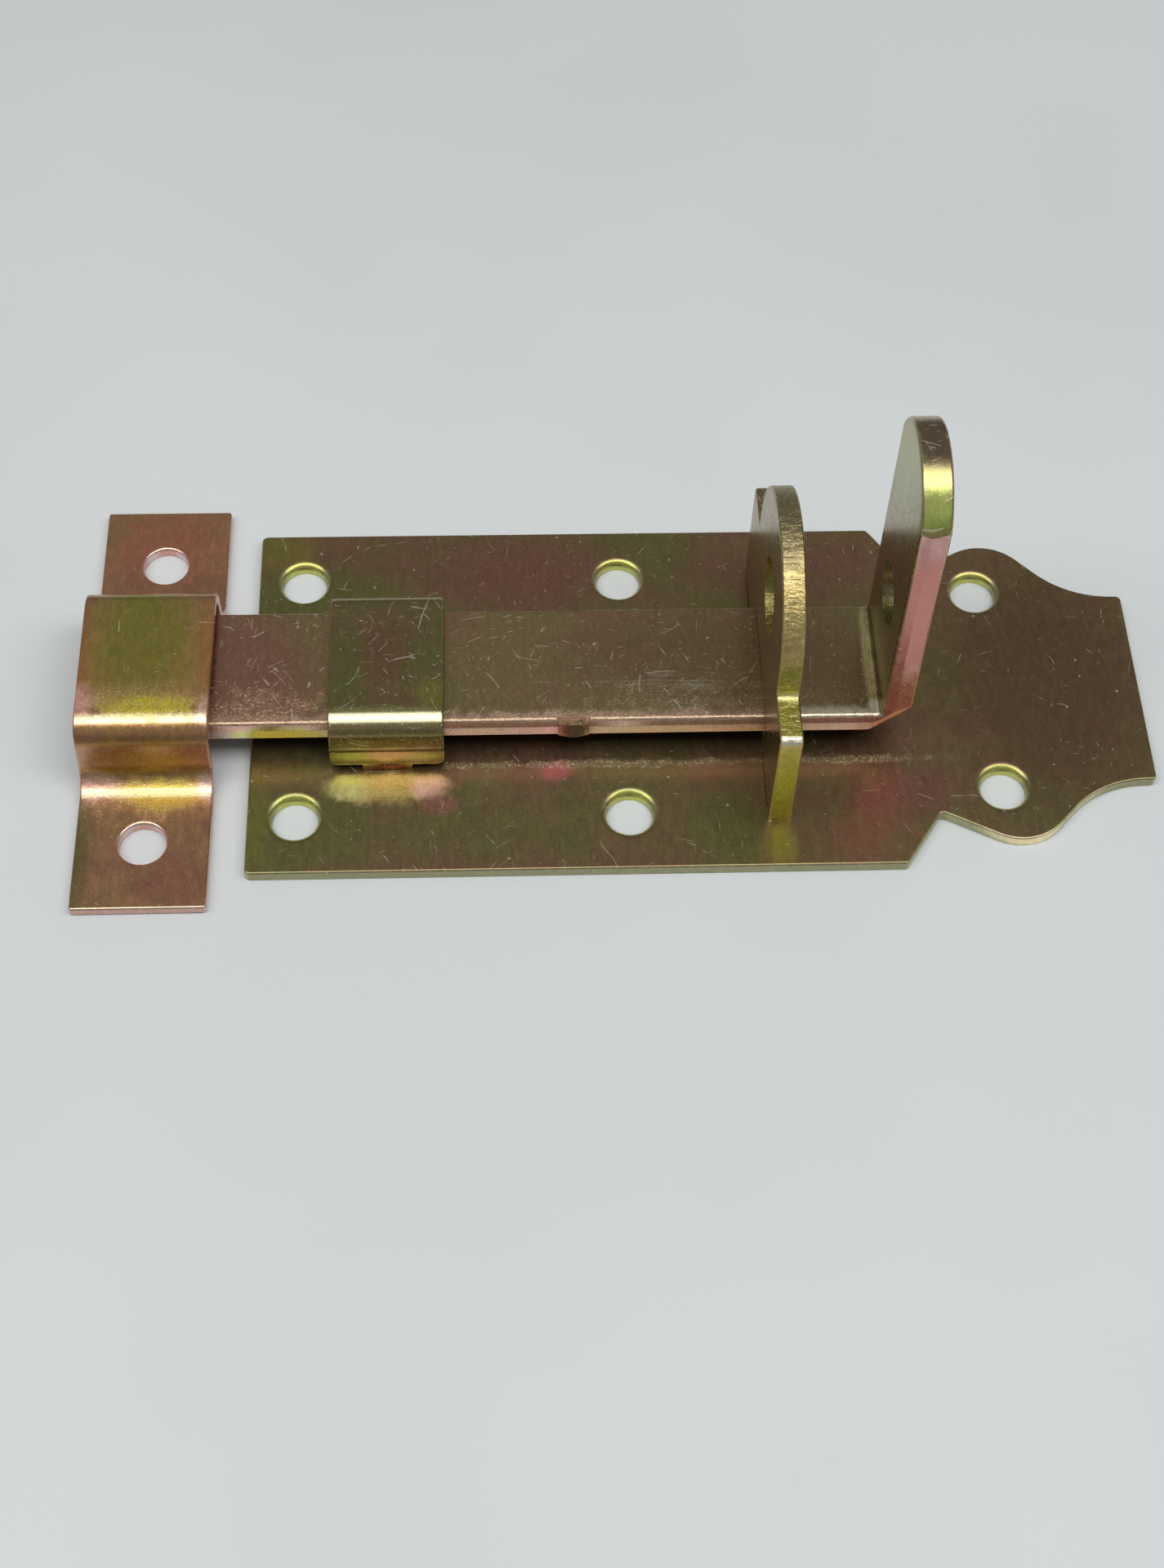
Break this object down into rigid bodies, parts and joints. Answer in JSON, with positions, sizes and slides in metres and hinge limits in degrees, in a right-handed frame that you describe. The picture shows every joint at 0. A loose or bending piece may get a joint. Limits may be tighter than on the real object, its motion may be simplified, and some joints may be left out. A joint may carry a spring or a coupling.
{
  "type": "flat slide bolt",
  "caption": "Flat slide bolt on a shaped base plate: a sliding bar with a padlock ear, a guide loop, a padlock lug and a separate screw-on keeper strap.",
  "frame": {"origin": "on the back of the base plate, at the middle of its straight front edge, the edge that faces the keeper", "axes": "+X runs from the keeper along the bolt towards its ear and the plate's shaped tail, so the bolt is thrown along -X; +Y runs across the plate; +Z stands out from the door"},
  "size_m": [0.1419, 0.0656, 0.0505],
  "materials": {
    "plate_finish": "yellow zinc plated steel sheet, glossy, olive brown with plum and green tints",
    "loop_finish": "yellow zinc plated steel strap, glossy, olive with gold bends",
    "lug_finish": "yellow zinc plated steel plate, satin blanked edges, olive yellow",
    "bar_finish": "yellow zinc plated steel bar, glossy with scratches, brown with pink edges",
    "keeper_finish": "yellow zinc plated steel strap, glossy, olive with gold bends and plum feet"
  },
  "bodies": {
    "base": {"base_plate": "plate_finish", "guide_loop": "loop_finish", "padlock_lug": "lug_finish"},
    "bolt": {"slide_bolt": "bar_finish"},
    "keeper": {"keeper": "keeper_finish"}
  },
  "joints": [
    {"name": "bolt_slide", "type": "slide", "parent": "base", "child": "bolt", "axis": [-1, 0, 0], "range_m": [-0.0222, 0.012]},
    {"name": "keeper_slide", "type": "slide", "parent": "base", "child": "keeper", "axis": [-1, 0, 0], "range_m": [0, 0.03]}
  ]
}
